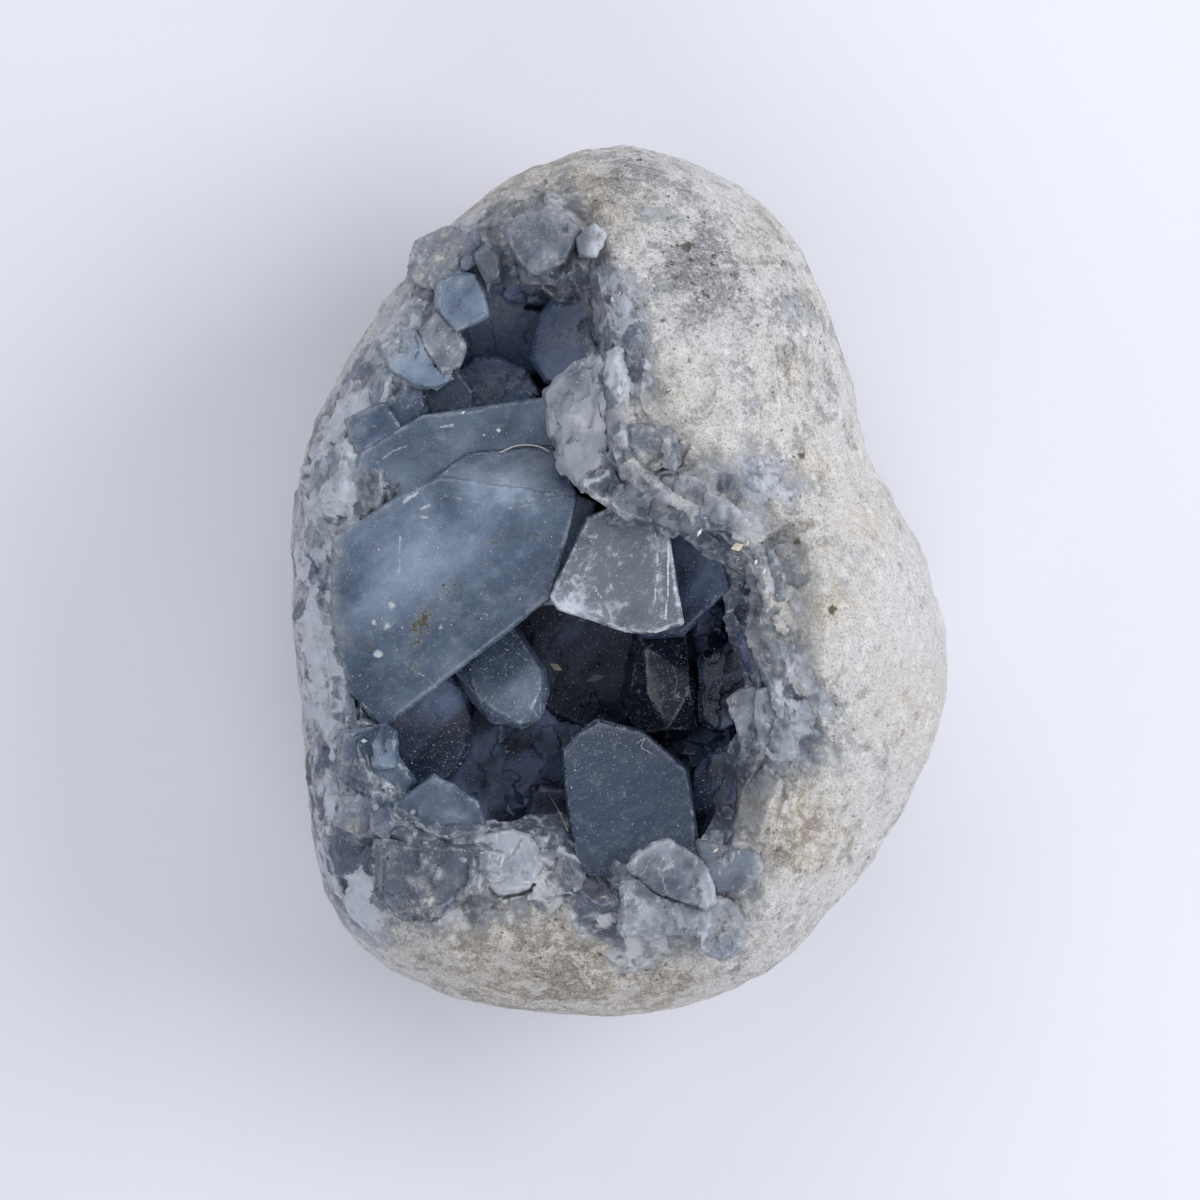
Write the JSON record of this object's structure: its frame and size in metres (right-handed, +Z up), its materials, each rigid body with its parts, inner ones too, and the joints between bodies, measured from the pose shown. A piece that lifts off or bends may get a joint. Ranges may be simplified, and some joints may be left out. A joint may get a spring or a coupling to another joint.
{
  "type": "celestite geode",
  "caption": "Egg-shaped pale rock nodule broken open on top, its hollow lined with blocky blue-grey celestite crystals; it lies on a small flat spot.",
  "frame": {"origin": "middle of the bounding box in X and Y, on the flat spot that the nodule lies on", "axes": "+Z up out of the open hollow, +Y along the nodule's length towards its narrower hollow, +X towards the high closed side"},
  "size_m": [0.113, 0.1502, 0.082],
  "materials": {
    "rind": "rough, granular, chalky white to grey with beige stains",
    "milky_celestite": "milky blue-grey crystal, satin faces with clouds and fine dust",
    "clear_celestite": "clear grey crystal with cleavage planes, glossy",
    "deep_celestite": "deep slate-blue crystal in shade, satin with bright dust",
    "frosted_celestite": "frosted grey-white crystal, cracked and mottled"
  },
  "bodies": {
    "root": {"matrix": "rind", "main_slab": "milky_celestite", "clear_plate": "clear_celestite", "slab_side": "milky_celestite", "ridge_mottled": "frosted_celestite", "glint_crystal": "clear_celestite", "ridge_block": "frosted_celestite", "ridge_massif": "frosted_celestite", "back_slab": "milky_celestite", "shade_block": "deep_celestite", "east_wall": "deep_celestite", "east_plates": "frosted_celestite", "tall_blade": "milky_celestite", "white_slab": "frosted_celestite", "south_clear": "clear_celestite", "south_rim": "frosted_celestite", "east_low": "deep_celestite", "south_east_block": "deep_celestite", "west_rounded": "milky_celestite", "mottled_block": "milky_celestite", "white_block": "frosted_celestite", "west_dark": "deep_celestite", "foot_massif": "frosted_celestite", "west_foot": "milky_celestite", "west_blocks": "milky_celestite", "light_block": "milky_celestite", "grey_prism": "frosted_celestite", "lilac_block": "milky_celestite", "west_lilac": "milky_celestite", "corner_block": "milky_celestite", "north_point": "clear_celestite", "shoulder_block": "milky_celestite", "north_block": "frosted_celestite", "north_chip": "clear_celestite", "glassy_chip": "clear_celestite", "north_dark": "deep_celestite", "north_inner": "deep_celestite", "north_floor": "deep_celestite", "navy_block": "deep_celestite", "west_triangle": "milky_celestite", "centre_point": "clear_celestite", "floor_centre": "milky_celestite", "floor_south": "deep_celestite", "floor_west": "deep_celestite"}
  },
  "joints": []
}
